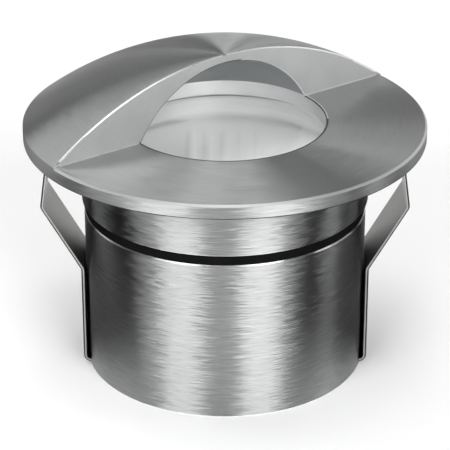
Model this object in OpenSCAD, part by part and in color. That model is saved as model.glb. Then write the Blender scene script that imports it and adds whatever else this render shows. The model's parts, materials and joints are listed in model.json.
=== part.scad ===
// In-ground well light: a recessed garden spotlight of stainless steel. The round trim lies flush
// with the ground, and a hood over half of it throws the light forward through one window.
// The origin is the middle of the base rim, +Z points up and the two spring clips lie on the X axis.

/* [Trim] */
// How far the trim stands out beyond the barrel
trim_overhang = 11.95; // [10:0.05:16]
// Height of the trim's outer edge
rim_h = 3.1; // [2.5:0.1:5]
// Bevel round the top edge of the trim
rim_bevel = 0.45; // [0.1:0.05:0.9]
// Width of the trim's land over the edge of the glass
window_land = 6.5; // [4:0.1:8]

/* [Hood] */
// Height of the hood above the flat of the trim
hood_h = 14.5; // [11:0.1:18]
// Metal between the hood's crown and the pocket under it
crown_wall = 1.9; // [1.2:0.1:3]
// Turn of the hood's face from the line between the clips
hood_turn = 36.1; // [0:0.1:360]

/* [Head barrel] */
// How far the barrel stands out beyond the housing
barrel_step = 0.45; // [0.1:0.05:1.5]
// Height of the barrel that shows under the trim
barrel_h = 14; // [14:0.1:20]
// Thickness of the barrel's wall
barrel_wall = 2.35; // [2:0.05:2.6]
// Height of the lip that enters the trim
lip_h = 1; // [0.5:0.1:1.5]
// Chamfer of the barrel's bottom edge
barrel_chamfer = 0.2; // [0.1:0.05:0.5]

/* [Glass] */
// Thickness of the glass
glass_t = 4; // [3:0.1:4.5]
// Thickness of the flat seal over the glass
glass_seal_t = 0.6; // [0.3:0.1:1]
// Thickness of the cushion under the glass
cushion_t = 0.5; // [0.3:0.1:1]
// Height of the threaded ring that holds the glass
ring_h = 3; // [2:0.1:3.5]
// Width of the threaded ring across its face
ring_w = 1.85; // [1.4:0.05:2.1]

/* [Housing] */
// Outer diameter of the housing
body_d = 60.2; // [58:0.1:75]
// Height of the dry space between the base plate and the shelf
dry_h = 14.5; // [13:0.1:30]
// Wall of the skirt round the base recess
skirt_wall = 2; // [1.6:0.1:2.4]
// Wall round the dry space
cavity_wall = 3.2; // [2.8:0.1:3.6]
// Wall of the threaded neck
neck_wall = 2.15; // [1.6:0.05:2.4]
// Thickness of the shelf that carries the heat sink
shelf_t = 3; // [2:0.1:4]
// How far the shelf lies below the gasket seat
shelf_drop = 1.5; // [0.5:0.1:3]
// Chamfer of the housing's top edge
edge_chamfer = 0.3; // [0.1:0.05:0.6]
// Chamfer of the skirt's bottom edge
foot_chamfer = 0.2; // [0.1:0.05:0.5]

/* [Body gasket] */
// Height of the black gasket between barrel and housing
gasket_h = 2.3; // [1.5:0.1:3.5]
// How far the gasket's edge lies inside the housing's
gasket_inset = 0.2; // [0.05:0.05:0.6]

/* [Light engine] */
// Thickness of the heat sink's flange
sink_flange_t = 2.5; // [2:0.1:4]
// Air between the cooling fins and the terminal block
fin_air = 1.2; // [0.8:0.1:3]
// Thickness of one cooling fin
fin_t = 1.6; // [1:0.1:2.2]
// Distance from one fin to the next
fin_pitch = 4.8; // [4.6:0.1:6]
// Thickness of the heat-transfer pad
pad_t = 0.4; // [0.2:0.1:1]
// Thickness of the two circuit boards
pcb_t = 1.6; // [1:0.1:2]
// Gap between the light-emitting board and the heat sink's screws
led_board_gap = 0.7; // [0.3:0.1:2]
// Room kept free between the chips and the board's screws and wires
led_clear = 2.4; // [1:0.1:5]
// Distance between chips, across and along
led_pitch = [3.65, 4.4]; // [3.5:0.05:5]
// Size of one chip
led_size = [2.8, 3.5, 0.8]; // [0.8:0.1:3.5]
// Air between the light-emitting board and the optic
optic_gap = 1.7; // [1.2:0.1:3]
// Thickness of the optic
optic_t = 2; // [1.5:0.1:3]
// Wall of the reflector ring
reflector_wall = 0.5; // [0.4:0.1:1]

/* [Driver] */
// Height of the pillars under the driver board
standoff_h = 4; // [4:0.1:6]
// Gap between the driver board and the wall round it
driver_board_gap = 4.4; // [1:0.1:5]
// Radius of the cable hole in the driver board
driver_hole_r = 4; // [3:0.1:4.5]
// Size of the terminal block
terminal_size = [10, 7, 5.2]; // [5:0.1:11]
// Radius and height of the storage capacitor
capacitor_size = [3.5, 5.2]; // [3:0.1:5.5]
// Radius and height of the wound choke
choke_size = [4.2, 4.4]; // [3.5:0.1:5]

/* [Base] */
// Depth of the recess under the base plate
recess_h = 13; // [13:0.5:18]
// Thickness of the base plate
plate_t = 2.5; // [2:0.1:4]
// Thickness of the seal over the base plate
base_seal_t = 1; // [0.5:0.1:1.5]
// How far the base screws stand in from the wall of the dry space
base_screw_inset = 2.7; // [2.2:0.1:3]

/* [Cable gland] */
// Radius of the gland's thread through the base plate
gland_r = 6; // [5.5:0.1:7]
// Radius of the cable that the gland's seal takes
cable_r = 3; // [2.5:0.1:3.2]
// Width of the gland's hexagons across the flats
gland_hex_w = 15; // [14.5:0.1:17]

/* [Spring clips] */
// Width of the clip's strip
clip_w = 14; // [10:0.1:16]
// Thickness of the clip's strip
clip_t = 0.65; // [0.4:0.05:0.9]
// How far below the gasket the arm leaves the housing
kink_drop = 12.7; // [10:0.1:16]
// How far the arm's outer bend stands out from the leg
arm_reach = 8.3; // [6:0.1:9]
// Height of the arm's outer bend above the kink
arm_rise = 14.6; // [12:0.1:16]
// How far the tip leans back in from the outer bend
tip_lean = 1.7; // [0.5:0.1:2.5]
// Gap between the arm's tip and the trim above it
tip_gap = 1.8; // [1:0.1:5]
// Radius of the arm's outer bend, to the middle of the strip
bend_r = 1.5; // [1:0.1:3]
// Height of the clip's inner tab
tab_h = 10; // [9:0.1:11]

/* [Hidden] */
$fn = 96;

// Overrun of every cut
over = 0.5;

// Clearances
thread_gap = 0.25;
ring_gap = 0.05;
glass_gap = 0.4;
gasket_gap = 0.3;
seat_gap = 0.2;
lip_gap = 0.05;
hole_gap = 0.1;
neck_gap = 0.4;
reflector_gap = 0.3;
fin_gap = 0.3;
pivot_gap = 0.1;

// Heights, from the base rim up
plate_top = recess_h + plate_t;
ledge_z = plate_top + base_seal_t;
board_z = plate_top + standoff_h;
board_top = board_z + pcb_t;
shelf_z = ledge_z + dry_h;
shelf_top = shelf_z + shelf_t;
body_h = shelf_top + shelf_drop;
flange_top = shelf_top + sink_flange_t;
fin_z = board_top + terminal_size[2] + fin_air;
fin_h = shelf_top - fin_z;
led_board_z = flange_top + pad_t;
led_board_top = led_board_z + pcb_t;
optic_z = led_board_top + optic_gap;
optic_top = optic_z + optic_t;
barrel_z = body_h + gasket_h;
rim_z = barrel_z + barrel_h;
top_z = rim_z + rim_h;
glass_top = rim_z - glass_seal_t;
glass_z = glass_top - glass_t;
cushion_z = glass_z - cushion_t;
ring_z = cushion_z - ring_h;
neck_top = ring_z - neck_gap;

// Radii, from the outside in
body_r = body_d / 2;
barrel_r = body_r + barrel_step;
trim_r = barrel_r + trim_overhang;
barrel_bore_r = barrel_r - barrel_wall;
glass_r = barrel_bore_r - glass_gap;
window_r = glass_r - window_land;
ring_r = barrel_bore_r - ring_gap;
ring_bore_r = ring_r - ring_w;
neck_r = barrel_bore_r - thread_gap;
neck_bore_r = neck_r - neck_wall;
skirt_bore_r = body_r - skirt_wall;
cavity_r = body_r - cavity_wall;
plate_r = skirt_bore_r - seat_gap;
engine_r = neck_bore_r - seat_gap;

// Hood: a cap of a large sphere, with a cap of a smaller one taken out from below
hood_sphere_r = (pow(trim_r, 2) + pow(hood_h, 2)) / (2 * hood_h);
hood_centre_z = top_z + hood_h - hood_sphere_r;
pocket_h = hood_h - crown_wall;
pocket_r = (pow(window_r, 2) + pow(pocket_h, 2)) / (2 * pocket_h);
pocket_centre_z = top_z + pocket_h - pocket_r;

// Lip of the barrel in the trim's groove
lip_wall = barrel_wall / 2;
lip_inner_r = barrel_bore_r + lip_wall / 2;
lip_outer_r = lip_inner_r + lip_wall;

// Glass seals
seal_setback = 0.9;
seal_inner_r = window_r + seal_setback;

// Spanner slots of the threaded ring
ring_slots = 4;
ring_slot_w = 3;
ring_slot_h = 1.2;

// Screws: shank radius, head radius, head height
m2 = [1, 1.9, 1.1];
m25 = [1.25, 2.3, 1.5];
m3 = [1.5, 2.9, 1.8];
socket_share = 0.5;

// Shelf and heat sink
sink_screw_wall = 2;
sink_screw_at = neck_bore_r - m25[1] - sink_screw_wall;
sink_screws = 3;
sink_screw_l = 4.5;
shelf_bore_r = sink_screw_at - 2 * sink_screw_wall;
fin_r = shelf_bore_r - fin_gap;
fin_pairs = floor((fin_r - fin_t) / fin_pitch);
holder_w = 1.7;

// Light-emitting board
led_board_r = sink_screw_at - m25[1] - led_board_gap;
pad_inset = 1;
pad_r = led_board_r - pad_inset;
led_screw_inset = 2.6;
led_screw_at = led_board_r - led_screw_inset;
led_screw_turn = 30;
led_screw_l = 3;
lens_inset = 0.4;
lens_h = 0.15;

// Wires from the driver to the light-emitting board
wire_r = 0.55;
wire_x = 0.95;
wire_inset = 4.5;
wire_y = led_board_r - wire_inset;
wire_hole_r = 1.9;
solder_r = 0.8;
solder_h = 0.6;

// As many chips, across and along, as the board holds clear of its screws and wires
led_room = [led_screw_at * cos(led_screw_turn) - m2[1] - led_clear,
            wire_y - wire_hole_r - led_clear];
led_grid = [for (i = [0, 1]) floor((2 * led_room[i] - led_size[i]) / led_pitch[i]) + 1];

// Ears that take the base screws
base_screw_at = cavity_r - base_screw_inset;
ears = 3;
ear_turn = 90;
ear_r = 3.6;
ear_h = 9;
ear_hole_h = 7;
base_screw_grip = 5.5;
base_screw_l = plate_t + base_seal_t + base_screw_grip;
base_seal_w = 7.2;

// Driver board and what stands on it
driver_board_r = cavity_r - driver_board_gap;
ear_notch_gap = 0.6;
standoff_inset = 5.5;
standoff_at = driver_board_r - standoff_inset;
standoff_w = 5;
standoff_stud_h = 1.6;
board_screw_grip = 2.4;
board_screw_l = pcb_t + board_screw_grip;
terminal_gap = 1.2;
terminal_y = terminal_gap + terminal_size[1] / 2 + m25[1] - standoff_at;
terminal_poles = 2;
terminal_pitch = 5;
terminal_hole_r = 1.3;
terminal_hole_share = 0.5;
capacitor_gap = 2.5;
choke_gap = 2;
parts_y_share = -0.133;
capacitor_at = [terminal_size[0] / 2 + capacitor_gap + capacitor_size[0],
                driver_board_r * parts_y_share];
choke_at = [-terminal_size[0] / 2 - choke_gap - choke_size[0], driver_board_r * parts_y_share];
choke_core_share = 0.62;
choke_cheek_share = 0.18;
sleeve_rim = 0.5;
// Chips on the driver board. The two large ones keep clear of the board's screws, and the small
// ones stand at a share of the board's radius.
bridge_size = [5, 4, 1.6];
switch_size = [4.3, 2.6, 2.1];
resistor_size = [2, 1.2, 0.6];
diode_size = [3.2, 1.6, 0.9];
chip_gap = 2;
chip_room = standoff_at * cos(30) - m25[1] - chip_gap;
large_y_share = 0.37;
resistor_shares = [0.222, 0.551];
diode_shares = [0.315, -0.63];
chip_sizes = [bridge_size, switch_size, resistor_size, resistor_size, diode_size, diode_size];
chip_at = [[bridge_size[0] / 2 - chip_room, driver_board_r * large_y_share],
           [chip_room - switch_size[0] / 2, driver_board_r * large_y_share],
           for (shares = [resistor_shares, diode_shares], side = [1, -1])
               driver_board_r * [side * shares[0], shares[1]]];

// Cable gland
gland_washer_h = 1;
gland_hex_h = 3.5;
gland_stub_h = 3.4;
gland_locknut_h = 3;
gland_wall = 1.1;
gland_nut_z = 2;
gland_nut_wall = 1.2;
gland_nose_h = 1.4;
gland_nose_bevel = 2;
gland_grip_h = 2;
gland_grip_drop = 2.1;
gland_socket_wall = 0.8;
gland_hex_z = recess_h - gland_washer_h - gland_hex_h;
gland_bore_gap = 0.6;
gland_tail_step = 0.5;
gland_bore_r = cable_r + gland_bore_gap;
gland_tail_r = gland_r - gland_tail_step;
gland_nut_bore_r = gland_tail_r + hole_gap;
gland_nut_r = gland_nut_bore_r + gland_nut_wall;
gland_socket_r = gland_tail_r - gland_socket_wall;
gland_seat_z = gland_nut_z + gland_nose_h;
gland_tail_z = gland_seat_z + hole_gap;
gland_seal_top = gland_hex_z - gland_wall;
gland_washer_r = gland_hex_w / 2;

// Spring clips
ground_gap = 0.2;
hook_r = 1.325;
clip_side_gap = 0.05;
leg_x = body_r + clip_side_gap + clip_t / 2;
hook_z = ground_gap + clip_t / 2 + hook_r;
tab_x = sqrt(pow(skirt_bore_r, 2) - pow(clip_w / 2, 2)) - clip_side_gap - clip_t / 2;
notch_gap = 0.3;
notch_w = clip_w + 2 * notch_gap;
notch_h = hook_z - hole_gap;
kink_z = body_h - kink_drop;
bend_x = leg_x + arm_reach;
bend_z = kink_z + arm_rise;
tip_rise = rim_z - tip_gap - bend_z;
leg_top = kink_z - clip_t / 2 - pivot_gap;
arm_lean = atan2(arm_reach, arm_rise);
tip_turn = -atan2(tip_lean, tip_rise);
clips = 2;
clip_screw_z = 6.4;
clip_screw_l = body_r - tab_x - clip_t / 2 - seat_gap;

function hex_r(width) = width / 2 / cos(30);

module tube(outer, inner, low, high) {
    difference() {
        translate([0, 0, low]) cylinder(r = outer, h = high - low);
        translate([0, 0, low - over]) cylinder(r = inner, h = high - low + 2 * over);
    }
}

module ring_of(count, at, first = 0) {
    for (i = [0:count - 1])
        rotate([0, 0, first + i * 360 / count]) translate([at, 0, 0]) children();
}

// Screw with its head's seat at the origin and its shank along -Z
module screw(size, length) {
    difference() {
        union() {
            translate([0, 0, -length]) cylinder(r = size[0], h = length);
            cylinder(r = size[1], h = size[2]);
        }
        translate([0, 0, size[2] * socket_share])
            cylinder(r = size[0], h = size[2], $fn = 6);
    }
}

module trim_disc() {
    rotate_extrude()
        polygon([[0, rim_z], [trim_r, rim_z], [trim_r, top_z - rim_bevel],
                 [trim_r - rim_bevel, top_z], [0, top_z]]);
}

module hood_cap() {
    intersection() {
        translate([0, 0, hood_centre_z]) sphere(r = hood_sphere_r);
        translate([0, 0, top_z - rim_bevel]) cylinder(r = trim_r, h = hood_h + 2 * rim_bevel);
        rotate([0, 0, hood_turn])
            translate([-2 * trim_r, 0, rim_z])
                cube([4 * trim_r, 2 * trim_r, rim_h + hood_h + over]);
    }
}

// The window's bore with the rounded pocket that carries it on under the hood
module window_hollow() {
    intersection() {
        translate([0, 0, pocket_centre_z]) sphere(r = pocket_r);
        translate([0, 0, rim_z - over]) cylinder(r = window_r, h = rim_h + hood_h + over);
    }
}

module trim_cover() {
    color("#b7b9b9") difference() {
        union() {
            trim_disc();
            hood_cap();
        }
        window_hollow();
        tube(lip_outer_r + lip_gap, lip_inner_r - lip_gap, rim_z - over, rim_z + lip_h + lip_gap);
    }
}

module head_barrel() {
    color("#b2b4b4") rotate_extrude()
        polygon([[barrel_bore_r, barrel_z], [barrel_r - barrel_chamfer, barrel_z],
                 [barrel_r, barrel_z + barrel_chamfer], [barrel_r, rim_z], [lip_outer_r, rim_z],
                 [lip_outer_r, rim_z + lip_h], [lip_inner_r, rim_z + lip_h], [lip_inner_r, rim_z],
                 [barrel_bore_r, rim_z]]);
}

module glass_seal() {
    color("#d8dad8") tube(glass_r, seal_inner_r, glass_top, rim_z);
}

module glass_lens() {
    color("#cfdad8", 0.4) translate([0, 0, glass_z]) cylinder(r = glass_r, h = glass_t);
}

module glass_cushion() {
    color("#d8dad8") tube(glass_r, ring_bore_r, cushion_z, glass_z);
}

module glass_retaining_ring() {
    color("#c4c6c6") difference() {
        tube(ring_r, ring_bore_r, ring_z, cushion_z);
        ring_of(ring_slots, ring_bore_r - over)
            translate([0, -ring_slot_w / 2, ring_z - over])
                cube([ring_w + 2 * over, ring_slot_w, ring_slot_h + over]);
    }
}

module body_gasket() {
    color("#161616") tube(body_r - gasket_inset, neck_r + gasket_gap, body_h, barrel_z);
}

module housing_shell() {
    rotate_extrude()
        polygon([[cavity_r, 0], [body_r - foot_chamfer, 0], [body_r, foot_chamfer],
                 [body_r, body_h - edge_chamfer],
                 [body_r - edge_chamfer, body_h], [neck_r, body_h], [neck_r, neck_top],
                 [neck_bore_r, neck_top], [neck_bore_r, shelf_top], [shelf_bore_r, shelf_top],
                 [shelf_bore_r, shelf_z], [cavity_r, shelf_z]]);
}

module clip_notch() {
    translate([skirt_bore_r - skirt_wall, -notch_w / 2, -over])
        cube([2 * skirt_wall + over, notch_w, notch_h + over]);
    translate([skirt_bore_r - skirt_wall, 0, clip_screw_z]) rotate([0, 90, 0])
        cylinder(r = m25[0] + hole_gap / 2, h = 2 * skirt_wall + over);
}

module housing() {
    color("#b4b6b6") difference() {
        union() {
            housing_shell();
            ring_of(ears, base_screw_at, ear_turn)
                translate([0, 0, ledge_z - over]) cylinder(r = ear_r, h = ear_h + over);
        }
        translate([0, 0, -over]) cylinder(r = skirt_bore_r, h = ledge_z + over);
        ring_of(ears, base_screw_at, ear_turn)
            translate([0, 0, ledge_z - over]) cylinder(r = m3[0], h = ear_hole_h + over);
        ring_of(sink_screws, sink_screw_at)
            translate([0, 0, shelf_z - over]) cylinder(r = m25[0], h = shelf_t + 2 * over);
        clip_notch();
        rotate([0, 0, 180]) clip_notch();
    }
}

module reflector_ring() {
    color("#dcdedd")
        tube(engine_r, engine_r - reflector_wall, optic_top, glass_z - reflector_gap);
}

module optic_plate() {
    color("#c9cbca") translate([0, 0, optic_z]) cylinder(r = engine_r, h = optic_t);
}

module optic_holder() {
    color("#e6e6e2") tube(engine_r, engine_r - holder_w, flange_top, optic_z);
}

module led_board() {
    color("#f0f0ea") difference() {
        translate([0, 0, led_board_z]) cylinder(r = led_board_r, h = pcb_t);
        ring_of(sink_screws, led_screw_at, led_screw_turn)
            translate([0, 0, led_board_z - over])
                cylinder(r = m2[0] + hole_gap, h = pcb_t + 2 * over);
        wire_places(led_board_z - over)
            cylinder(r = wire_r + hole_gap, h = pcb_t + 2 * over);
    }
}

module wire_places(height) {
    for (side = [-1, 1]) translate([side * wire_x, wire_y, height]) children();
}

module led_chips() {
    color("#efe9b8")
        for (i = [0:led_grid[0] - 1], j = [0:led_grid[1] - 1])
            translate([(i - (led_grid[0] - 1) / 2) * led_pitch[0],
                       (j - (led_grid[1] - 1) / 2) * led_pitch[1], led_board_top]) {
                translate([-led_size[0] / 2, -led_size[1] / 2, 0]) cube(led_size);
                translate([lens_inset - led_size[0] / 2, lens_inset - led_size[1] / 2, led_size[2]])
                    cube([led_size[0] - 2 * lens_inset, led_size[1] - 2 * lens_inset, lens_h]);
            }
}

module led_board_screws() {
    color("#9a9c9c") ring_of(sink_screws, led_screw_at, led_screw_turn)
        translate([0, 0, led_board_top]) screw(m2, led_screw_l);
}

module thermal_pad() {
    color("#8f979b") difference() {
        translate([0, 0, flange_top]) cylinder(r = pad_r, h = pad_t);
        ring_of(sink_screws, led_screw_at, led_screw_turn)
            translate([0, 0, flange_top - over]) cylinder(r = m2[0] + hole_gap, h = pad_t + 2 * over);
        translate([0, wire_y, flange_top - over]) cylinder(r = wire_hole_r, h = pad_t + 2 * over);
    }
}

module cooling_fins() {
    intersection() {
        translate([0, 0, fin_z]) cylinder(r = fin_r, h = fin_h);
        for (i = [0:fin_pairs - 1], side = [-1, 1])
            translate([side * (i + 0.5) * fin_pitch - fin_t / 2, -fin_r, fin_z - over])
                cube([fin_t, 2 * fin_r, fin_h + 2 * over]);
    }
}

module heat_sink() {
    color("#a7abae") difference() {
        union() {
            translate([0, 0, shelf_top]) cylinder(r = engine_r, h = sink_flange_t);
            cooling_fins();
        }
        ring_of(sink_screws, sink_screw_at)
            translate([0, 0, shelf_top - over])
                cylinder(r = m25[0] + hole_gap, h = sink_flange_t + 2 * over);
        ring_of(sink_screws, led_screw_at, led_screw_turn)
            translate([0, 0, flange_top - led_screw_l]) cylinder(r = m2[0], h = led_screw_l + over);
        translate([0, wire_y, fin_z - over]) cylinder(r = wire_hole_r, h = flange_top - fin_z + 2 * over);
    }
}

module heat_sink_screws() {
    color("#9a9c9c") ring_of(sink_screws, sink_screw_at)
        translate([0, 0, flange_top]) screw(m25, sink_screw_l);
}

module led_wires() {
    color("#b3261e") wire_places(board_z - solder_h) {
        cylinder(r = wire_r, h = led_board_top - board_z + 2 * solder_h);
        cylinder(r1 = wire_r, r2 = solder_r, h = solder_h);
        translate([0, 0, led_board_top - board_z + solder_h])
            cylinder(r1 = solder_r, r2 = wire_r, h = solder_h);
    }
}

module driver_board() {
    color("#2f6b3c") difference() {
        translate([0, 0, board_z]) cylinder(r = driver_board_r, h = pcb_t);
        translate([0, 0, board_z - over]) cylinder(r = driver_hole_r, h = pcb_t + 2 * over);
        ring_of(ears, base_screw_at, ear_turn)
            translate([0, 0, board_z - over])
                cylinder(r = ear_r + ear_notch_gap, h = pcb_t + 2 * over);
        ring_of(ears, standoff_at, ear_turn + 180)
            translate([0, 0, board_z - over])
                cylinder(r = m25[0] + hole_gap, h = pcb_t + 2 * over);
        wire_places(board_z - over)
            cylinder(r = wire_r + hole_gap, h = pcb_t + 2 * over);
    }
}

module on_driver_board(place) {
    translate([place[0], place[1], board_top]) children();
}

module driver_chips() {
    color("#26282a")
        for (i = [0:len(chip_sizes) - 1])
            on_driver_board(chip_at[i])
                translate([-chip_sizes[i][0] / 2, -chip_sizes[i][1] / 2, 0]) cube(chip_sizes[i]);
}

module driver_capacitor() {
    color("#2b3d63") on_driver_board(capacitor_at) difference() {
        cylinder(r = capacitor_size[0], h = capacitor_size[1]);
        translate([0, 0, capacitor_size[1] - sleeve_rim / 2])
            cylinder(r = capacitor_size[0] - sleeve_rim, h = over);
    }
}

module driver_choke() {
    color("#3a3434") on_driver_board(choke_at) {
        cylinder(r = choke_size[0], h = choke_size[1] * choke_cheek_share);
        cylinder(r = choke_size[0] * choke_core_share, h = choke_size[1]);
        translate([0, 0, choke_size[1] * (1 - choke_cheek_share)])
            cylinder(r = choke_size[0], h = choke_size[1] * choke_cheek_share);
    }
}

module terminal_places() {
    for (i = [0:terminal_poles - 1])
        translate([(i - (terminal_poles - 1) / 2) * terminal_pitch, terminal_y, board_top]) children();
}

module terminal_block() {
    color("#3d7a52") difference() {
        translate([-terminal_size[0] / 2, terminal_y - terminal_size[1] / 2, board_top])
            cube(terminal_size);
        terminal_places() translate([0, 0, terminal_size[2] * terminal_hole_share])
            rotate([-90, 0, 0]) cylinder(r = terminal_hole_r, h = terminal_size[1]);
        terminal_places() translate([0, 0, terminal_size[2] * terminal_hole_share])
            cylinder(r = m2[1] + hole_gap, h = terminal_size[2]);
    }
}

module terminal_screws() {
    color("#a8aaaa") terminal_places()
        translate([0, 0, terminal_size[2] - m2[2] - hole_gap]) screw(m2, m2[2]);
}

module board_standoffs() {
    color("#b9a05a") ring_of(ears, standoff_at, ear_turn + 180) difference() {
        union() {
            translate([0, 0, plate_top]) cylinder(r = hex_r(standoff_w), h = standoff_h, $fn = 6);
            translate([0, 0, plate_top - standoff_stud_h])
                cylinder(r = m25[0], h = standoff_stud_h);
        }
        translate([0, 0, board_top - board_screw_l]) cylinder(r = m25[0], h = board_screw_l);
    }
}

module board_screws() {
    color("#9a9c9c") ring_of(ears, standoff_at, ear_turn + 180)
        translate([0, 0, board_top]) screw(m25, board_screw_l);
}

module base_plate() {
    color("#b0b2b2") difference() {
        translate([0, 0, recess_h]) cylinder(r = plate_r, h = plate_t);
        translate([0, 0, recess_h - over]) cylinder(r = gland_r + hole_gap, h = plate_t + 2 * over);
        ring_of(ears, base_screw_at, ear_turn)
            translate([0, 0, recess_h - over])
                cylinder(r = m3[0] + hole_gap, h = plate_t + 2 * over);
        ring_of(ears, standoff_at, ear_turn + 180)
            translate([0, 0, plate_top - standoff_stud_h])
                cylinder(r = m25[0] + hole_gap / 2, h = standoff_stud_h + over);
    }
}

module base_seal() {
    color("#202020") difference() {
        tube(plate_r, plate_r - base_seal_w, plate_top, ledge_z);
        ring_of(ears, base_screw_at, ear_turn)
            translate([0, 0, plate_top - over])
                cylinder(r = m3[0] + hole_gap, h = base_seal_t + 2 * over);
    }
}

module base_screws() {
    color("#9a9c9c") ring_of(ears, base_screw_at, ear_turn)
        translate([0, 0, recess_h]) rotate([180, 0, 0]) screw(m3, base_screw_l);
}

module gland_body() {
    color("#232425") difference() {
        union() {
            translate([0, 0, gland_hex_z])
                cylinder(r = hex_r(gland_hex_w), h = gland_hex_h, $fn = 6);
            translate([0, 0, gland_hex_z])
                cylinder(r = gland_r, h = plate_top + gland_stub_h - gland_hex_z);
            translate([0, 0, gland_tail_z])
                cylinder(r = gland_tail_r, h = gland_hex_z - gland_tail_z);
        }
        translate([0, 0, gland_tail_z])
            cylinder(r = gland_bore_r, h = plate_top + gland_stub_h - gland_tail_z + over);
        translate([0, 0, gland_tail_z - over])
            cylinder(r = gland_socket_r, h = gland_seal_top - gland_tail_z + over);
    }
}

module gland_washer() {
    color("#111111")
        tube(gland_washer_r, gland_r + hole_gap, recess_h - gland_washer_h, recess_h);
}

module gland_locknut() {
    color("#2a2b2c") difference() {
        translate([0, 0, plate_top])
            cylinder(r = hex_r(gland_hex_w), h = gland_locknut_h, $fn = 6);
        translate([0, 0, plate_top - over])
            cylinder(r = gland_r + hole_gap, h = gland_locknut_h + 2 * over);
    }
}

module gland_seal() {
    color("#4a4a4a") tube(gland_socket_r - ring_gap, cable_r, gland_tail_z, gland_seal_top);
}

module gland_nut() {
    color("#1e1f20") difference() {
        union() {
            translate([0, 0, gland_nut_z])
                cylinder(r1 = gland_nut_r - gland_nose_bevel / 2, r2 = gland_nut_r,
                         h = gland_nose_bevel);
            translate([0, 0, gland_nut_z + gland_nose_bevel])
                cylinder(r = gland_nut_r, h = gland_hex_z - seat_gap - gland_nut_z - gland_nose_bevel);
            translate([0, 0, gland_hex_z - gland_grip_drop - gland_grip_h])
                cylinder(r = hex_r(2 * gland_nut_r), h = gland_grip_h, $fn = 6);
        }
        translate([0, 0, gland_nut_z - over])
            cylinder(r = gland_bore_r, h = gland_nose_h + 2 * over);
        translate([0, 0, gland_seat_z]) cylinder(r = gland_nut_bore_r, h = gland_hex_z);
    }
}

// Filled outline of the hook, offset outwards from the middle of the strip
module hook_outline(offset_by, high) {
    translate([tab_x - offset_by, hook_z])
        square([leg_x - tab_x + 2 * offset_by, high - hook_z]);
    translate([tab_x + hook_r, hook_z - hook_r - offset_by])
        square([leg_x - tab_x - 2 * hook_r, hook_r + offset_by]);
    for (x = [tab_x + hook_r, leg_x - hook_r])
        translate([x, hook_z]) circle(r = hook_r + offset_by);
}

module clip_leg() {
    color("#9b9c9a") difference() {
        rotate([90, 0, 0]) linear_extrude(clip_w, center = true) difference() {
            hook_outline(clip_t / 2, leg_top);
            hook_outline(-clip_t / 2, leg_top + over);
            translate([tab_x - clip_t, tab_h]) square([2 * clip_t, leg_top]);
        }
        translate([tab_x - clip_t, 0, clip_screw_z]) rotate([0, 90, 0])
            cylinder(r = m25[0] + hole_gap, h = 2 * clip_t);
    }
}

// Filled outline behind the arm, offset outwards from the middle of the strip
module arm_outline(offset_by, overrun) {
    kink = [leg_x, kink_z];
    bend = [bend_x, bend_z];
    tip = bend + [-tip_lean, tip_rise];
    up = [[sin(arm_lean), cos(arm_lean)], [sin(tip_turn), cos(tip_turn)]];
    out = [[cos(arm_lean), -sin(arm_lean)], [cos(tip_turn), -sin(tip_turn)]];
    centre = bend - (out[0] + out[1]) * bend_r / (1 + out[0] * out[1]);
    polygon([kink + out[0] * offset_by - up[0] * overrun,
             centre + out[0] * (bend_r + offset_by),
             centre + out[1] * (bend_r + offset_by),
             tip + out[1] * offset_by + up[1] * overrun,
             tip - out[1] * (arm_reach + overrun) + up[1] * overrun,
             kink - out[0] * (arm_reach + overrun) - up[0] * overrun]);
    translate(centre) circle(r = bend_r + offset_by);
}

module clip_arm() {
    color("#a3a4a2") rotate([90, 0, 0]) linear_extrude(clip_w, center = true) difference() {
        arm_outline(clip_t / 2, 0);
        arm_outline(-clip_t / 2, over);
    }
}

module clip_leg_left() {
    rotate([0, 0, 180]) clip_leg();
}

module clip_leg_right() {
    clip_leg();
}

module clip_arm_left() {
    rotate([0, 0, 180]) clip_arm();
}

module clip_arm_right() {
    clip_arm();
}

module clip_screws() {
    color("#9a9c9c") ring_of(clips, tab_x - clip_t / 2)
        translate([0, 0, clip_screw_z]) rotate([0, -90, 0]) screw(m25, clip_t + clip_screw_l);
}

trim_cover();
head_barrel();
glass_seal();
glass_lens();
glass_cushion();
glass_retaining_ring();
body_gasket();
housing();
reflector_ring();
optic_plate();
optic_holder();
led_board();
led_chips();
led_board_screws();
thermal_pad();
heat_sink();
heat_sink_screws();
led_wires();
driver_board();
driver_chips();
driver_capacitor();
driver_choke();
terminal_block();
terminal_screws();
board_standoffs();
board_screws();
base_plate();
base_seal();
base_screws();
gland_body();
gland_washer();
gland_locknut();
gland_seal();
gland_nut();
clip_leg_left();
clip_leg_right();
clip_arm_left();
clip_arm_right();
clip_screws();
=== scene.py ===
import json
import math

import bmesh
import bpy
from mathutils import Matrix, Vector

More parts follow.
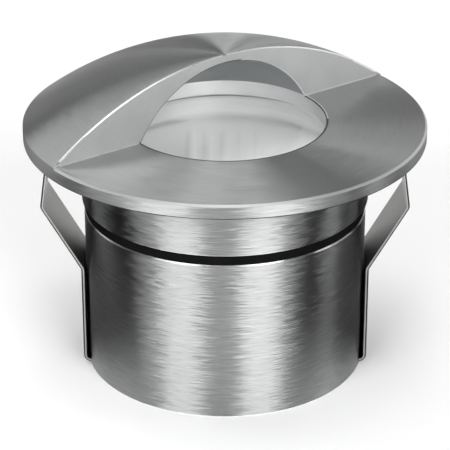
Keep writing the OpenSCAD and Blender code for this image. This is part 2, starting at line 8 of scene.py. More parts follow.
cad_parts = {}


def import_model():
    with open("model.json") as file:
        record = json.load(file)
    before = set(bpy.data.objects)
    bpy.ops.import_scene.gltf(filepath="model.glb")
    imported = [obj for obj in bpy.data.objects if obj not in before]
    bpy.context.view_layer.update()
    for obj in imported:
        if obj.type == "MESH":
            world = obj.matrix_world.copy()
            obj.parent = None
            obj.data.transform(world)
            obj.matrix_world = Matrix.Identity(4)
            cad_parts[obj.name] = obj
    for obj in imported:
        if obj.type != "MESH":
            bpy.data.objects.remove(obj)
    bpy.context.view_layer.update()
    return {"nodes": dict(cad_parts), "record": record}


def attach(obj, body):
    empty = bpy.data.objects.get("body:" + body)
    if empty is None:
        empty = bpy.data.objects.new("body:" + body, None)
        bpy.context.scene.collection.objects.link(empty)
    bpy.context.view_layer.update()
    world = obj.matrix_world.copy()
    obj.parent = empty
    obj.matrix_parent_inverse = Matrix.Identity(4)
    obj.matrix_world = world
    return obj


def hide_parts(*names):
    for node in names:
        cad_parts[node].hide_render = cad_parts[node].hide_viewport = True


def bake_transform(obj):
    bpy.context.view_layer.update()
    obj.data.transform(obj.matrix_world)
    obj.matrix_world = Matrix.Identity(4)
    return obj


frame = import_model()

# In-ground well light: a hooded stainless trim over a screwed head, a brushed housing and two
# spring clips. Sizes are those of the part's source, in millimetres unless a name says metres.
nodes = frame["nodes"]
MM = 0.001

# Trim and hood
TRIM_R = 42.5
WINDOW_R = 21.3
RIM_Z = 51.8
TOP_Z = 54.9
RIM_BEVEL = 0.45
HOOD_H = 14.5
POCKET_H = 12.6
HOOD_TURN = 36.1
GROOVE_INNER = 28.74
GROOVE_OUTER = 30.01
GROOVE_TOP = 52.85
BORE_EDGE = 0.35
CUT_LINE = 0.5
RIDGE_BEVEL = 0.26
OPENING_BEVEL = 0.22
FOOT_BEVEL = 0.3
FREE_STRIP = 0.4
ROUND_STEPS = 96
NEAR = 0.01
# The ridge is rounded from this far off the axis to this far off the rim
RIDGE_START = 0.5
RIDGE_END = 1.0
# Edges of the upright face deeper than this under the crown are the arch
ARCH_DEPTH = 0.3
WINDOW_CORNER = 1.4
# How far the painted shade reaches from the opening, and to the right along the upright face
SHADE_REACH = 0.4
SHADE_END = 4
# Slots of the trim's finishes, its painted highlight and its painted shade
ROUND, FACE, INSIDE, BORE, PAINTED_HIGHLIGHT, PAINTED_SHADE, TUBE, RIM = range(8)

# Spring clips
CLIP_W = 14.0
CLIP_T = 0.65
TAB_X = 26.838
TAB_TOP = 10.0
LEG_X = 30.475
HOOK_Z = 1.85
HOOK_R = 1.325
KINK = (30.475, 22.8)
BEND = (38.775, 37.4)
TIP = (37.075, 50.0)
KINK_R = 1.4
BEND_R = 1.5
KINK_CLEAR = 1.2
ROLLED_R = 0.34
SHEARED_BEVEL = 0.06
SQUARE_CORNER = 1.2
# Slots of the clips' finish, its painted shade and its painted highlight
STRIP_FACE, SHADE_CORNER, HIGHLIGHT_SIDE = range(3)

# Optic over the light-emitting chips
OPTIC_R = 25.6
OPTIC_Z = 40.2
OPTIC_TOP = 42.2
CHIP_COLUMNS = 5
COLUMN_PITCH = 3.65
RIB_W = 2.0
RIB_L = 36.0
RIB_H = 0.9


# ---------------------------------------------------------------- materials

# Most values of a noise lie between these two
NOISE_SPAN = {"From Min": 0.3, "From Max": 0.7}
# Streaks round the Z axis have their stated length at this radius, that of the body
GRAIN_R = 30


def colour(code):
    """Linear colour of an sRGB hex code."""
    channels = [int(code[i:i + 2], 16) / 255 for i in (1, 3, 5)]
    linear = [c / 12.92 if c <= 0.04045 else ((c + 0.055) / 1.055) ** 2.4 for c in channels]
    return (*linear, 1)


def add(tree, kind, sockets=None, **settings):
    """Adds a node. sockets gives each input a value, or the output that feeds it."""
    made = tree.nodes.new(kind)
    for name, value in settings.items():
        setattr(made, name, value)
    for name, value in (sockets or {}).items():
        if isinstance(value, bpy.types.NodeSocket):
            tree.links.new(value, made.inputs[name])
        else:
            made.inputs[name].default_value = value
    return made


def new_material(name, **sockets):
    """A material with a Principled shader, and its object coordinates in millimetres."""
    material = bpy.data.materials.new(name)
    material.use_nodes = True
    tree = material.node_tree
    tree.nodes.clear()
    shader = add(tree, "ShaderNodeBsdfPrincipled",
                 {key.replace("_", " "): value for key, value in sockets.items()})
    add(tree, "ShaderNodeOutputMaterial", {"Surface": shader.outputs["BSDF"]})
    place = add(tree, "ShaderNodeTexCoord").outputs["Object"]
    scaled = add(tree, "ShaderNodeVectorMath", {0: place, "Scale": 1 / MM}, operation="SCALE")
    return material, tree, shader, scaled.outputs["Vector"]


def dress(tree, shader, tone, grain, dark, light, roughness, swing, depth_mm):
    """Gives a shader its colour, between two hex codes by tone. By grain it gets its roughness,
    which swings that far to both sides, and a relief of that depth."""
    share = add(tree, "ShaderNodeMapRange", {"Value": tone, **NOISE_SPAN}).outputs["Result"]
    base = add(tree, "ShaderNodeMix", {"Factor": share, "A": colour(dark), "B": colour(light)},
               data_type="RGBA")
    rough = add(tree, "ShaderNodeMapRange", {"Value": grain, **NOISE_SPAN,
                                             "To Min": roughness - swing,
                                             "To Max": roughness + swing})
    relief = add(tree, "ShaderNodeBump", {"Height": grain, "Distance": depth_mm * MM,
                                          "Strength": 1.0})
    tree.links.new(base.outputs["Result"], shader.inputs["Base Color"])
    tree.links.new(rough.outputs["Result"], shader.inputs["Roughness"])
    tree.links.new(relief.outputs["Normal"], shader.inputs["Normal"])


def round_grain(tree, place, width_mm, length_mm):
    """Noise drawn out round the Z axis: streaks of that width and length on a tube, a disc or a
    dome."""
    radial = add(tree, "ShaderNodeVectorMath", {0: place, 1: (1, 1, 0)},
                 operation="MULTIPLY").outputs[0]
    turn = add(tree, "ShaderNodeVectorMath", {0: radial}, operation="NORMALIZE").outputs[0]
    wide = add(tree, "ShaderNodeVectorMath", {0: turn, "Scale": GRAIN_R / length_mm},
               operation="SCALE").outputs[0]
    reach = add(tree, "ShaderNodeVectorMath", {0: radial}, operation="LENGTH").outputs["Value"]
    height = add(tree, "ShaderNodeSeparateXYZ", {0: place}).outputs["Z"]
    across = add(tree, "ShaderNodeMath", {0: reach, 1: height}, operation="SUBTRACT").outputs[0]
    fine = add(tree, "ShaderNodeMath", {0: across, 1: 1 / width_mm},
               operation="MULTIPLY").outputs[0]
    lift = add(tree, "ShaderNodeCombineXYZ", {"Z": fine}).outputs[0]
    both = add(tree, "ShaderNodeVectorMath", {0: wide, 1: lift}).outputs[0]
    return add(tree, "ShaderNodeTexNoise", {"Vector": both, "Scale": 1.0, "Detail": 3.0,
                                            "Roughness": 0.6}).outputs["Fac"]


def brushed_steel(name, dark, light, roughness=0.39, width_mm=0.1, length_mm=4.0, depth_mm=0.002,
                  sway_by=0.11, painted_highlight_heights=()):
    """Stainless steel brushed while it turned. Its scratches, taken to be some 0.05 mm wide, are
    drawn twice as wide, or they wouldn't show. They draw each reflection out across them.
    sway_by turns each streak a little aside, which frays the rims of the reflections.
    The last argument gives the heights of chamfers lightened as painted highlight."""
    material, tree, shader, place = new_material(name, Metallic=1.0, Anisotropic=1.0,
                                                 Anisotropic_Rotation=0.25)
    streaks = round_grain(tree, place, width_mm, length_mm)
    dress(tree, shader, streaks, streaks, dark, light, roughness, 0.04, depth_mm)
    base, rough, relief = [shader.inputs[key].links[0].from_socket
                           for key in ("Base Color", "Roughness", "Normal")]
    height = add(tree, "ShaderNodeSeparateXYZ", {0: place}).outputs["Z"]
    # Chamfers at these heights are lightened towards white as a painted highlight
    for low, high in painted_highlight_heights:
        painted_highlight_mask = add(tree, "ShaderNodeMath", {0: height, 1: (low + high) / 2, 2: (high - low) / 2},
                      operation="COMPARE").outputs[0]
        base = add(tree, "ShaderNodeMix", {0: painted_highlight_mask, 6: base, 7: colour("#eeefef")},
                   data_type="RGBA").outputs[2]
        rough = add(tree, "ShaderNodeMix", {0: painted_highlight_mask, 2: rough, 3: 0.4},
                    data_type="FLOAT").outputs[0]
    # The brushing's way, round the Z axis, turned with the body that the piece rides on
    cross = add(tree, "ShaderNodeVectorMath", {0: (0, 0, 1), 1: place},
                operation="CROSS_PRODUCT").outputs[0]
    unit = add(tree, "ShaderNodeVectorMath", {0: cross}, operation="NORMALIZE").outputs[0]
    brushing = add(tree, "ShaderNodeVectorTransform", {0: unit}, vector_type="VECTOR",
                   convert_from="OBJECT", convert_to="WORLD").outputs[0]
    second_grain = round_grain(tree, place, 1.2 * width_mm, length_mm)
    sway = add(tree, "ShaderNodeMapRange", {"Value": second_grain, **NOISE_SPAN,
                                            "To Min": -sway_by,
                                            "To Max": sway_by}).outputs["Result"]
    aside = add(tree, "ShaderNodeVectorMath", {0: brushing, "Scale": sway},
                operation="SCALE").outputs[0]
    leaning = add(tree, "ShaderNodeVectorMath", {0: relief, 1: aside}).outputs[0]
    facing = add(tree, "ShaderNodeVectorMath", {0: leaning}, operation="NORMALIZE").outputs[0]
    finished = {"Base Color": base, "Roughness": rough, "Normal": facing, "Tangent": brushing}
    for key, output in finished.items():
        tree.links.new(output, shader.inputs[key])
    return material


def satin_steel(name, dark="#a4a5a5", light="#b4b5b5", roughness=0.42):
    """Fine-blasted stainless steel: an even soft sheen with hardly any grain."""
    material, tree, shader, place = new_material(name, Metallic=1.0)
    grain = add(tree, "ShaderNodeTexNoise", {"Vector": place, "Scale": 1 / 0.5,
                                             "Detail": 3.0}).outputs["Fac"]
    cloud = add(tree, "ShaderNodeTexNoise", {"Vector": place, "Scale": 1 / 9,
                                             "Detail": 2.0}).outputs["Fac"]
    dress(tree, shader, cloud, grain, dark, light, roughness, 0.04, 0.006)
    return material


def spring_steel(name, dark, light, roughness):
    """Cold-rolled spring strip: greyer than the brushed parts, with faint rolling lines along
    it."""
    material, tree, shader, place = new_material(name, Metallic=1.0)
    drawn = add(tree, "ShaderNodeMapping", {"Vector": place, "Scale": (0.12, 2.5, 0.12)}).outputs[0]
    lines = add(tree, "ShaderNodeTexNoise", {"Vector": drawn, "Scale": 1.0,
                                             "Detail": 3.0}).outputs["Fac"]
    dress(tree, shader, lines, lines, dark, light, roughness, 0.05, 0.008)
    return material


def turned_metal(name, dark, light, roughness=0.3, pitch_mm=0.35, depth_mm=0.01):
    """Metal turned on a lathe: fine rings, set by the feed of the tool."""
    material, tree, shader, place = new_material(name, Metallic=1.0)
    rings = round_grain(tree, place, pitch_mm, 60)
    dress(tree, shader, rings, rings, dark, light, roughness, 0.05, depth_mm)
    return material


def moulded(name, dark, light, roughness=0.5, grain_mm=0.4, **sockets):
    """Moulded or cast plastic and rubber: a fine spark-eroded grain and slightly uneven colour."""
    material, tree, shader, place = new_material(name, **sockets)
    grain = add(tree, "ShaderNodeTexNoise", {"Vector": place, "Scale": 1 / grain_mm,
                                             "Detail": 3.0}).outputs["Fac"]
    cloud = add(tree, "ShaderNodeTexNoise", {"Vector": place,
                                             "Scale": 1 / (12 * grain_mm)}).outputs["Fac"]
    dress(tree, shader, cloud, grain, dark, light, roughness, 0.06, 0.01)
    return material


def circuit_board(name, mask, copper):
    """Glass-fibre board under glossy solder mask, with the raised lines of its copper tracks."""
    material, tree, shader, place = new_material(name, Coat_Weight=0.3)
    tracks = add(tree, "ShaderNodeTexBrick", {"Vector": place, "Scale": 0.22, "Mortar Size": 0.035,
                                              "Color1": (0, 0, 0, 1), "Color2": (0, 0, 0, 1),
                                              "Mortar": (1, 1, 1, 1)}).outputs["Color"]
    dress(tree, shader, tracks, tracks, mask, copper, 0.34, 0.06, 0.035)
    return material


def clear_glass(name):
    """Toughened soda-lime glass, its face dulled a little by feet and sand: what lies under it
    is seen softly."""
    material, tree, shader, place = new_material(name, Base_Color=colour("#fcfcfc"), IOR=1.52,
                                                 Transmission_Weight=1.0)
    smears = add(tree, "ShaderNodeTexNoise", {"Vector": place, "Scale": 1 / 14,
                                              "Detail": 4.0}).outputs["Fac"]
    dull = add(tree, "ShaderNodeMapRange", {"Value": smears, "From Min": 0.35, "From Max": 0.7,
                                            "To Min": 0.08, "To Max": 0.16}).outputs["Result"]
    tree.links.new(dull, shader.inputs["Roughness"])
    return material


def frosted_acrylic(name):
    """Moulded acrylic optic with a frosted back, which hides the chips. Its weak glow is painted
    light, as the optic is unlit: it brightens the closed well that rendered light leaves dim."""
    # The emission is painted light
    material, tree, shader, place = new_material(name, IOR=1.49, Transmission_Weight=0.15,
                                                 Emission_Color=colour("#ffffff"),
                                                 Emission_Strength=0.12)
    grain = add(tree, "ShaderNodeTexNoise", {"Vector": place, "Scale": 1 / 1.2}).outputs["Fac"]
    cloud = add(tree, "ShaderNodeTexNoise", {"Vector": place, "Scale": 1 / 6}).outputs["Fac"]
    dress(tree, shader, cloud, grain, "#eceeee", "#f4f5f5", 0.35, 0.05, 0.004)
    return material


STEEL_ROUND = brushed_steel("stainless steel brushed in circles", "#a6a7a7", "#b8b9b9", 0.34,
                            depth_mm=0.0008, sway_by=0.06)
# Its bottom edge and top chamfers get a painted highlight
STEEL_TUBE = brushed_steel("stainless steel tube brushed round its girth", "#969797", "#bdbebe",
                           painted_highlight_heights=((0, 0.2), (35.2, 35.5), (37.8, 38.0)))
STEEL_PLATE = satin_steel("satin stainless plate")
STEEL_FACE = satin_steel("fine-blasted stainless face", "#babbbb", "#c4c5c5", 0.66)
# Lighter than steel on the rounded edges, the bore's top and the flat behind the window: painted
# highlight
STEEL_PAINTED_HIGHLIGHT = turned_metal("stainless edge lightened as painted highlight", "#e4e5e5", "#eeefef", 0.32,
                          depth_mm=0.001)
STEEL_RIM = turned_metal("stainless chamfer turned on the rim", "#b9baba", "#c6c7c7", 0.42,
                         depth_mm=0.001)
# A dark line of painted shade round the window, over the left of the arch and under the rim's foot
STEEL_PAINTED_SHADE = satin_steel("stainless darkened as painted shade", "#4a4b4c", "#5c5d5e", 0.5)
# Lighter than stainless steel can be: painted light standing in for the bright well it reflects
STEEL_BORE_PAINTED_LIGHT = satin_steel("stainless bore wall lightened as painted light", "#dedfdf", "#e8e9e9", 0.6)
STEEL_INSIDE = satin_steel("plain stainless inside the hood", "#909293", "#9d9fa0", 0.36)
STRIP = spring_steel("cold-rolled spring strip", "#7f7f7d", "#939391", 0.34)
# The strip's dark outer corner is painted shade, its light sides painted highlight
STRIP_PAINTED_SHADE = spring_steel("strip corner darkened as painted shade", "#3f3f3e", "#555553", 0.45)
STRIP_PAINTED_HIGHLIGHT = spring_steel("strip side lightened as painted highlight", "#b2b2b0", "#c2c2c0", 0.42)
BRIGHT_RING = turned_metal("bright-dipped aluminium ring", "#eaebeb", "#f3f3f3", 0.5)
FINISHES = {
    "brushed_trim": STEEL_ROUND,
    "brushed_barrel": STEEL_TUBE,
    "brushed_plate": STEEL_PLATE,
    "spring_strip": STRIP,
    "screw_steel": turned_metal("cold-headed screw steel", "#8d8f90", "#b0b2b3", 0.32, 0.5),
    "turned_aluminium": turned_metal("turned aluminium", "#d6d8d9", "#e4e5e6", 0.5),
    "polished_aluminium": turned_metal("bright spun aluminium", "#eceded", "#f4f4f4", 0.5, 0.6),
    "brass": turned_metal("turned brass", "#b08a3f", "#caa458", 0.28),
    "glass": clear_glass("toughened glass"),
    "optic": frosted_acrylic("frosted acrylic optic with a painted glow"),
    "silicone": moulded("pale silicone", "#d6d8d5", "#e2e4e1", 0.4),
    "black_rubber": moulded("black nitrile rubber", "#040404", "#0a0a0a", 0.8,
                            Specular_IOR_Level=0.1),
    "grey_rubber": moulded("grey sealing rubber", "#4a4a4a", "#585858", 0.6),
    "grey_pad": moulded("heat-transfer pad", "#8b9296", "#9aa1a5", 0.7, 0.8),
    "white_plastic": moulded("white polycarbonate", "#e2e2dd", "#ededea", 0.4),
    "white_board": circuit_board("white solder mask", "#e9e9e3", "#dcdcd3"),
    "green_board": circuit_board("green solder mask", "#1c5a2b", "#2f7a40"),
    "phosphor": moulded("yellow phosphor gel", "#e6d65e", "#f0e486", 0.3, 0.2),
    "black_epoxy": moulded("moulded black epoxy", "#1e1f20", "#2a2b2c", 0.6),
    "capacitor_sleeve": moulded("shrunk sleeve", "#1b2a4f", "#24345c", 0.3),
    "ferrite": moulded("sintered ferrite", "#35302f", "#423c3b", 0.65, 0.3),
    "terminal_green": moulded("moulded polyamide", "#2c7044", "#378052", 0.45),
    "black_nylon": moulded("moulded black polyamide", "#191a1b", "#242526", 0.48),
    "wire_insulation": moulded("red silicone insulation", "#a3231b", "#b5302a", 0.38),
}


# ---------------------------------------------------------------- meshes

# Faces that meet at more than this angle are shaded apart
SHARP = math.radians(35)


def spun(bm, profile, start, sweep, steps):
    """Turns a profile of (radius, height) points round the Z axis by sweep, from start, in
    degrees."""
    corners = [bm.verts.new((r * MM, 0, z * MM)) for r, z in profile]
    edges = [bm.edges.new(pair) for pair in zip(corners, corners[1:])]
    bmesh.ops.rotate(bm, verts=corners, cent=(0, 0, 0),
                     matrix=Matrix.Rotation(math.radians(start), 3, "Z"))
    bmesh.ops.spin(bm, geom=corners + edges, cent=(0, 0, 0), axis=(0, 0, 1),
                   angle=math.radians(sweep), steps=steps, use_merge=abs(sweep) == 360)


def rounded(bm, edges, width_mm, material, segments=3):
    """Rounds edges by that width and gives the new faces that slot."""
    bmesh.ops.bevel(bm, geom=edges, offset=width_mm * MM, offset_type="OFFSET", segments=segments,
                    profile=0.5, affect="EDGES", material=material, clamp_overlap=False)


def piece(name, bm, slot, *materials):
    """Closes a bmesh into a shaded object with its place in its mesh."""
    bmesh.ops.remove_doubles(bm, verts=bm.verts, dist=1e-6)
    bmesh.ops.recalc_face_normals(bm, faces=bm.faces)
    for face in bm.faces:
        face.smooth = True
    for edge in bm.edges:
        edge.smooth = len(edge.link_faces) == 2 and edge.calc_face_angle() < SHARP
    mesh = bpy.data.meshes.new(name)
    bm.to_mesh(mesh)
    bm.free()
    made = bpy.data.objects.new(name, mesh)
    bpy.context.scene.collection.objects.link(made)
    for material in materials:
        mesh.materials.append(material)
    weighted = made.modifiers.new("even shading", "WEIGHTED_NORMAL")
    weighted.keep_sharp = True
    return made


def cap_height(rise, reach, r):
    """Height at radius r of a spherical cap that rises so far over a rim of radius reach."""
    sphere = (reach ** 2 + rise ** 2) / (2 * rise)
    return rise - sphere + math.sqrt(sphere ** 2 - r ** 2)


def steps_between(low, high, count):
    """count + 1 values at even steps, both ends among them."""
    return [low + (high - low) * i / count for i in range(count + 1)]


def trim_corner(edge, back):
    """Which of the trim's corners an edge belongs to, if any."""
    radii = [vert.co.xy.length / MM for vert in edge.verts]
    heights = [vert.co.z / MM for vert in edge.verts]
    if all(abs(vert.co.dot(back)) < 1e-6 for vert in edge.verts) and min(heights) > TOP_Z - NEAR:
        if max(radii) > TRIM_R - RIDGE_END:
            return None
        if max(heights) < TOP_Z + NEAR:
            return "valley"
        depths = [TOP_Z + cap_height(HOOD_H, TRIM_R, r) - h for r, h in zip(radii, heights)]
        if min(depths) > ARCH_DEPTH:
            return "arch"
        return "ridge" if max(radii) > RIDGE_START else None
    if max(heights) - min(heights) < NEAR and max(radii) - min(radii) < NEAR:
        at_window = abs(radii[0] - WINDOW_R) < NEAR and abs(heights[0] - TOP_Z) < NEAR
        if at_window and edge.calc_face_angle() > WINDOW_CORNER:
            return "window"
        if abs(radii[0] - TRIM_R) < NEAR and abs(heights[0] - RIM_Z) < NEAR:
            return "foot"
    return None


def gets_painted_shade(face, centre, along):
    """Whether a rounded corner is darkened as painted shade: round the window and over
    the left side of the arch."""
    reach = centre.xy.length
    pocket_z = TOP_Z + cap_height(POCKET_H, WINDOW_R, min(reach, WINDOW_R))
    at_opening = reach < WINDOW_R + SHADE_REACH and centre.z < pocket_z + SHADE_REACH
    left_or_low = centre.dot(along) < SHADE_END or centre.z < TOP_Z + NEAR
    return at_opening and face.normal.z < 0.98 and left_or_low


def trim_finish(face, centre, back):
    """The slot of a face that isn't on a rounded corner."""
    reach = centre.xy.length
    on_side = TOP_Z - RIM_BEVEL < centre.z < TOP_Z
    if reach > TRIM_R - RIM_BEVEL and on_side and face.normal.z > 0.3:
        return RIM
    if reach > TRIM_R - 0.1 and RIM_Z < centre.z < TOP_Z:
        return TUBE
    # The flat's ring round the window: painted highlight behind it, painted shade in front
    if reach < WINDOW_R + CUT_LINE and abs(centre.z - TOP_Z) < 0.02 and face.normal.z > 0.9:
        return PAINTED_HIGHLIGHT if centre.y > 0 else PAINTED_SHADE
    if abs(face.normal.dot(back)) > 0.95 and abs(centre.dot(back)) < 0.05:
        return FACE
    if centre.z > TOP_Z + 0.05 and face.normal.z < -0.05:
        return INSIDE
    # The bore wall is lightened as painted light, its top edge as painted highlight
    if reach < WINDOW_R + 0.05 and centre.z < TOP_Z - 0.1:
        return PAINTED_HIGHLIGHT if centre.z > TOP_Z - BORE_EDGE else BORE
    return ROUND


def trim_with_hood():
    """The trim: a half with the hood and its pocket, a flat half, and the upright face between."""
    inner = [0, 0.45] + steps_between(1.5, WINDOW_R, 22)
    outer = [WINDOW_R, WINDOW_R + CUT_LINE] + steps_between(WINDOW_R + 1, TRIM_R - RIM_BEVEL, 23)
    below = [(TRIM_R, TOP_Z - RIM_BEVEL), (TRIM_R, RIM_Z), (GROOVE_OUTER, RIM_Z),
             (GROOVE_OUTER, GROOVE_TOP), (GROOVE_INNER, GROOVE_TOP), (GROOVE_INNER, RIM_Z),
             (WINDOW_R, RIM_Z), (WINDOW_R, TOP_Z - BORE_EDGE), (WINDOW_R, TOP_Z)]
    crown = [(r, TOP_Z + cap_height(HOOD_H, TRIM_R, r)) for r in inner + outer[1:] + [TRIM_R]]
    pocket = [(r, TOP_Z + cap_height(POCKET_H, WINDOW_R, r)) for r in reversed(inner[:-1])]
    flat = [(r, TOP_Z) for r in outer]
    bm = bmesh.new()
    spun(bm, crown + below + pocket, HOOD_TURN, 180, ROUND_STEPS)
    spun(bm, flat + below, HOOD_TURN, -180, ROUND_STEPS)
    bmesh.ops.remove_doubles(bm, verts=bm.verts, dist=2e-6)
    back = Vector((-math.sin(math.radians(HOOD_TURN)), math.cos(math.radians(HOOD_TURN)), 0))
    along = Vector((back.y, -back.x, 0))

    # The spun faces run together at the axis, too narrow to bevel: a strip along the upright face
    # is cut free of the spin's lines
    bmesh.ops.bisect_plane(bm, geom=bm.verts[:] + bm.edges[:] + bm.faces[:], dist=1e-7,
                           plane_co=back * FREE_STRIP * MM, plane_no=back)
    narrow = []
    for edge in bm.edges:
        gaps = [v.co.dot(back) / MM for v in edge.verts]
        radii = [v.co.xy.length for v in edge.verts]
        if (min(gaps) > -1e-4 and max(gaps) < FREE_STRIP + 1e-4 and 1e-3 < max(gaps)
                and min(gaps) < FREE_STRIP - 1e-3 and abs(radii[0] - radii[1]) > 2e-5
                and max(radii) < WINDOW_R * MM and len(edge.link_faces) == 2):
            narrow.append(edge)
    bmesh.ops.dissolve_edges(bm, edges=narrow, use_verts=True)
    bmesh.ops.dissolve_degenerate(bm, edges=bm.edges, dist=1e-7)
    bmesh.ops.holes_fill(bm, edges=[e for e in bm.edges if e.is_boundary], sides=0)
    bmesh.ops.recalc_face_normals(bm, faces=bm.faces)

    # Rounded corners are painted highlight; the foot and corners at the opening are painted shade
    for corners, width, slot in ((("ridge",), RIDGE_BEVEL, PAINTED_HIGHLIGHT),
                                 (("arch", "valley", "window"), OPENING_BEVEL, PAINTED_HIGHLIGHT),
                                 (("foot",), FOOT_BEVEL, PAINTED_SHADE)):
        rounded(bm, [e for e in bm.edges if trim_corner(e, back) in corners], width, slot)
    for face in bm.faces:
        centre = face.calc_center_median() / MM
        if face.material_index == ROUND:
            face.material_index = trim_finish(face, centre, back)
        elif face.material_index == PAINTED_HIGHLIGHT and gets_painted_shade(face, centre, along):
            face.material_index = PAINTED_SHADE
    return piece("trim_with_hood", bm, "brushed_trim", STEEL_ROUND, STEEL_FACE, STEEL_INSIDE,
                 STEEL_BORE_PAINTED_LIGHT, STEEL_PAINTED_HIGHLIGHT, STEEL_PAINTED_SHADE, STEEL_TUBE, STEEL_RIM)


def arc(centre, radius, first, last, count):
    """Points of an arc in the XZ plane, from one bearing to another in degrees."""
    bearings = [math.radians(a) for a in steps_between(first, last, count)]
    return [(centre[0] + radius * math.cos(a), centre[1] + radius * math.sin(a)) for a in bearings]


def bend(before, corner, after, radius):
    """Points that round a corner of a path with an arc of that radius."""
    a, b, c = Vector(before), Vector(corner), Vector(after)
    into, out = (b - a).normalized(), (c - b).normalized()
    turn = into.angle_signed(out)
    reach = radius * math.tan(abs(turn) / 2)
    start = b - into * reach
    side = Vector((-into.y, into.x)) * (-radius if turn > 0 else radius)
    centre = start + side
    made = []
    for share in steps_between(0, 1, 8):
        spoke = -side
        spoke.rotate(Matrix.Rotation(-turn * share, 2))
        made.append(tuple(centre + spoke))
    return made


def beside(path, gap):
    """A path moved sideways by gap, to the right of its run."""
    made = []
    for i, (x, z) in enumerate(path):
        run = Vector(path[min(i + 1, len(path) - 1)]) - Vector(path[max(i - 1, 0)])
        run.normalize()
        made.append((x + run.y * gap, z - run.x * gap))
    return made


def spring_clip(name, side):
    """One strip from its inner tab, under the skirt and up to the arm's tip."""
    path = [(TAB_X, z) for z in steps_between(TAB_TOP, HOOK_Z, 4)]
    path += arc((TAB_X + HOOK_R, HOOK_Z), HOOK_R, 180, 270, 8)[1:]
    path += arc((LEG_X - HOOK_R, HOOK_Z), HOOK_R, 270, 360, 8)
    path += [(LEG_X, z) for z in steps_between(HOOK_Z, KINK[1] - KINK_CLEAR, 8)[1:-1]]
    path += bend((LEG_X, HOOK_Z), KINK, BEND, KINK_R)
    path += [tuple(Vector(KINK).lerp(Vector(BEND), share)) for share in (0.25, 0.5, 0.75)]
    path += bend(KINK, BEND, TIP, BEND_R)
    path += [tuple(Vector(BEND).lerp(Vector(TIP), share)) for share in (0.3, 0.6, 1.0)]
    outer, inner = beside(path, CLIP_T / 2), beside(path, -CLIP_T / 2)
    bm = bmesh.new()
    is_outer = bm.verts.layers.int.new("outer")
    outline = [bm.verts.new((x * MM, -CLIP_W / 2 * MM, z * MM)) for x, z in outer + inner[::-1]]
    for vert in outline[:len(outer)]:
        vert[is_outer] = 1
    swept = bmesh.ops.extrude_face_region(bm, geom=[bm.faces.new(outline)])["geom"]
    bmesh.ops.translate(bm, vec=(0, CLIP_W * MM, 0),
                        verts=[v for v in swept if isinstance(v, bmesh.types.BMVert)])
    bmesh.ops.recalc_face_normals(bm, faces=bm.faces)
    # The rounded outer corner is painted shade, the strip's sides painted highlight
    for face in bm.faces:
        face.material_index = HIGHLIGHT_SIDE if abs(face.normal.y) > 0.9 else STRIP_FACE
    rolled = [e for e in bm.edges if e.verts[0][is_outer] and e.verts[1][is_outer]
              and e.calc_face_angle() > SQUARE_CORNER
              and abs(e.verts[0].co.y - e.verts[1].co.y) < 1e-6]
    bm.verts.layers.int.remove(is_outer)
    rounded(bm, rolled, ROLLED_R, SHADE_CORNER)
    square = [e for e in bm.edges if e.calc_face_angle() > SQUARE_CORNER]
    rounded(bm, square, SHEARED_BEVEL, HIGHLIGHT_SIDE, segments=1)
    if side < 0:
        bmesh.ops.rotate(bm, verts=bm.verts, cent=(0, 0, 0),
                         matrix=Matrix.Rotation(math.pi, 3, "Z"))
    made = piece("clip_" + name, bm, "spring_strip", STRIP, STRIP_PAINTED_SHADE, STRIP_PAINTED_HIGHLIGHT)
    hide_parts("clip_leg_" + name, "clip_arm_" + name)
    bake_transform(made)


def ribbed_optic():
    """The optic: a frosted disc with one long round-ended rib over each column of chips."""
    bm = bmesh.new()
    plate_top = OPTIC_TOP - RIB_H
    profile = [(0, OPTIC_Z), (OPTIC_R, OPTIC_Z), (OPTIC_R, plate_top), (0, plate_top)]
    spun(bm, profile, 0, 360, ROUND_STEPS)
    for i in range(CHIP_COLUMNS):
        x = (i - (CHIP_COLUMNS - 1) / 2) * COLUMN_PITCH
        rib = bmesh.ops.create_uvsphere(bm, u_segments=32, v_segments=16, radius=1)["verts"]
        bmesh.ops.scale(bm, verts=rib, vec=(RIB_W / 2 * MM, RIB_W / 2 * MM, RIB_H * MM))
        for vert in rib:
            if abs(vert.co.y) > 1e-5:
                vert.co.y += math.copysign((RIB_L - RIB_W) / 2 * MM, vert.co.y)
        bmesh.ops.translate(bm, verts=rib, vec=(x * MM, 0, plate_top * MM))
    made = piece("ribbed_optic", bm, "optic", FINISHES["optic"])
    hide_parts("optic_plate")
    return made


# ---------------------------------------------------------------- the object

slots = {part["node"]: part["material_slot"] for part in frame["record"]["subparts"]}
for node_name, node in nodes.items():
    node.data.materials.clear()
    node.data.materials.append(FINISHES[slots[node_name]])
nodes["glass_retaining_ring"].data.materials[0] = BRIGHT_RING

# The glass is left out of the shadows, so that the lamps reach what is behind it
nodes["glass_lens"].visible_shadow = False

trim = trim_with_hood()
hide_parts("trim_cover")
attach(trim, "head")
spring_clip("left", -1)
spring_clip("right", 1)
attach(ribbed_optic(), "housing_assembly")


# ---------------------------------------------------------------- floor, light and camera

# In metres
LAMP_DISTANCE = 1.2
LAMP_AIM = Vector((0, 0, 0.03))
FLOOR_R = 4.0
FLOOR_GAP = 0.00002
CARD_W = 0.056
CARD_BACK = 0.12
CARD_Z = 0.0205

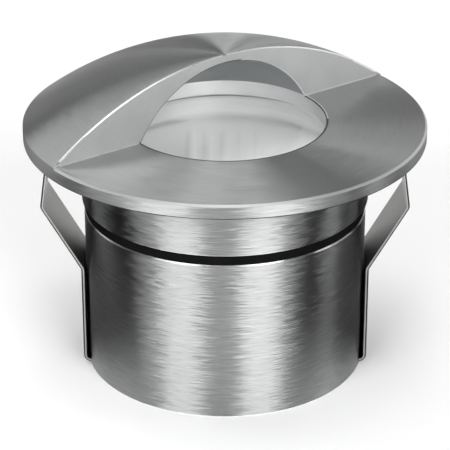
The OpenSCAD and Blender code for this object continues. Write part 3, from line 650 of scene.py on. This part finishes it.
# Softboxes: azimuth (0 on the camera's side, 90 on the right), elevation, how many degrees wide
# and high they look from the object, and how many times as bright as white paper they are
SOFTBOXES = {
    "left_strip": (-34, 22, 33, 38, 5.3),
    "right_strip": (28, 22, 32, 38, 6.3),
    "right_fill": (90, 20, 14, 34, 3.0),
    "right_back_fill": (134, 20, 48, 34, 1.0),
    "left_back_fill": (-122, 20, 40, 34, 1.1),
    "back_box": (180, 20, 64, 34, 0.3),
    "front_box": (0, 46, 90, 20, 0.3),
    "left_box": (-110, 52, 34, 26, 2.5),
    "left_back_box": (-151, 51, 34, 24, 2.2),
    "right_back_box": (150, 52, 34, 26, 0.4),
    "right_back_spot": (147, 38, 20, 10, 1.5),
    "top_box": (0, 88, 24, 24, 4.0),
    "top_front_box": (0, 65, 100, 14, 1.4),
    "high_right_box": (118, 63, 30, 12, 1.8),
    "high_back_box": (-176, 62, 12, 14, 2.5),
    "back_top_box": (180, 72, 16, 12, 1.2),
    "high_left_box": (-160, 76, 30, 10, 1.5),
}


def softbox(name, azimuth, elevation, across, high, strength):
    """A rectangular lamp that faces the object."""
    turn, climb = math.radians(azimuth), math.radians(elevation)
    lamp = bpy.data.lights.new(name, "AREA")
    lamp.shape = "RECTANGLE"
    lamp.size = 2 * LAMP_DISTANCE * math.tan(math.radians(across / 2)) * math.cos(climb)
    lamp.size_y = 2 * LAMP_DISTANCE * math.tan(math.radians(high / 2))
    if elevation > 80:  # Overhead, an azimuth has no width
        lamp.size = lamp.size_y
    lamp.energy = math.pi * lamp.size * lamp.size_y * strength
    made = bpy.data.objects.new(name, lamp)
    away = Vector((math.sin(turn) * math.cos(climb), -math.cos(turn) * math.cos(climb),
                   math.sin(climb)))
    made.location = LAMP_AIM + LAMP_DISTANCE * away
    made.rotation_euler = away.to_track_quat("Z", "Y").to_euler()
    made.visible_camera = False
    bpy.context.scene.collection.objects.link(made)


def floor():
    """A wide pale floor, a hair under the object so that their faces don't coincide."""
    material, tree, shader, place = new_material("pale studio floor", Roughness=0.9,
                                                 Specular_IOR_Level=0.1)
    cloud = add(tree, "ShaderNodeTexNoise", {"Vector": place, "Scale": 1 / 400}).outputs["Fac"]
    dress(tree, shader, cloud, cloud, "#f7f7f7", "#fafafa", 0.88, 0.02, 0)
    bm = bmesh.new()
    bmesh.ops.create_circle(bm, cap_ends=True, segments=ROUND_STEPS, radius=FLOOR_R)
    bmesh.ops.translate(bm, verts=bm.verts, vec=(0, 0, -FLOOR_GAP))
    mesh = bpy.data.meshes.new("studio floor")
    bm.to_mesh(mesh)
    bm.free()
    mesh.materials.append(material)
    made = bpy.data.objects.new("studio_floor", mesh)
    bpy.context.scene.collection.objects.link(made)


def world():
    """A faint even light from all round."""
    made = bpy.data.worlds.new("studio")
    made.use_nodes = True
    tree = made.node_tree
    tree.nodes.clear()
    back = add(tree, "ShaderNodeBackground", {"Color": colour("#ffffff"), "Strength": 0.02})
    add(tree, "ShaderNodeOutputWorld", {"Surface": back.outputs[0]})
    bpy.context.scene.world = made


def dark_card(name, side, front):
    """A photographer's flag: a dark card beside the object, out of the picture, that only the
    metal sees, so that its edges stand out from the pale floor. It reaches from front to
    CARD_BACK, in metres from the object's middle."""
    material, tree, shader, place = new_material(name, Roughness=0.9, Specular_IOR_Level=0.1)
    cloth = add(tree, "ShaderNodeTexNoise", {"Vector": place, "Scale": 1 / 3}).outputs["Fac"]
    dress(tree, shader, cloth, cloth, "#0a0a0a", "#141414", 0.88, 0.02, 0)
    bm = bmesh.new()
    bmesh.ops.create_grid(bm, x_segments=1, y_segments=1, size=0.5)
    bmesh.ops.scale(bm, verts=bm.verts, vec=(CARD_W, CARD_BACK + front, 1))
    bmesh.ops.rotate(bm, verts=bm.verts, cent=(0, 0, 0),
                     matrix=Matrix.Rotation(math.radians(-45), 3, "Y"))
    bmesh.ops.translate(bm, verts=bm.verts, vec=(CARD_W, (CARD_BACK - front) / 2, CARD_Z))
    if side < 0:
        bmesh.ops.scale(bm, verts=bm.verts, vec=(-1, 1, 1))
    mesh = bpy.data.meshes.new(name)
    bm.to_mesh(mesh)
    bm.free()
    mesh.materials.append(material)
    made = bpy.data.objects.new(name, mesh)
    bpy.context.scene.collection.objects.link(made)
    made.visible_camera = made.visible_shadow = False
    made.visible_diffuse = made.visible_transmission = False


floor()
world()
dark_card("left_card", -1, 0.034)
dark_card("right_card", 1, 0.047)
for lamp_name, setting in SOFTBOXES.items():
    softbox(lamp_name, *setting)

# The camera that was fitted to the photo
camera = bpy.data.cameras.new("camera")
camera.sensor_width = 36
camera.lens = 175.97
camera.clip_start = 0.01
viewer = bpy.data.objects.new("camera", camera)
viewer.location = (0, -0.42589, 0.23823)
viewer.rotation_euler = (math.radians(63.946), 0, 0)
bpy.context.scene.collection.objects.link(viewer)
bpy.context.scene.camera = viewer
bpy.context.scene.view_settings.view_transform = "Standard"
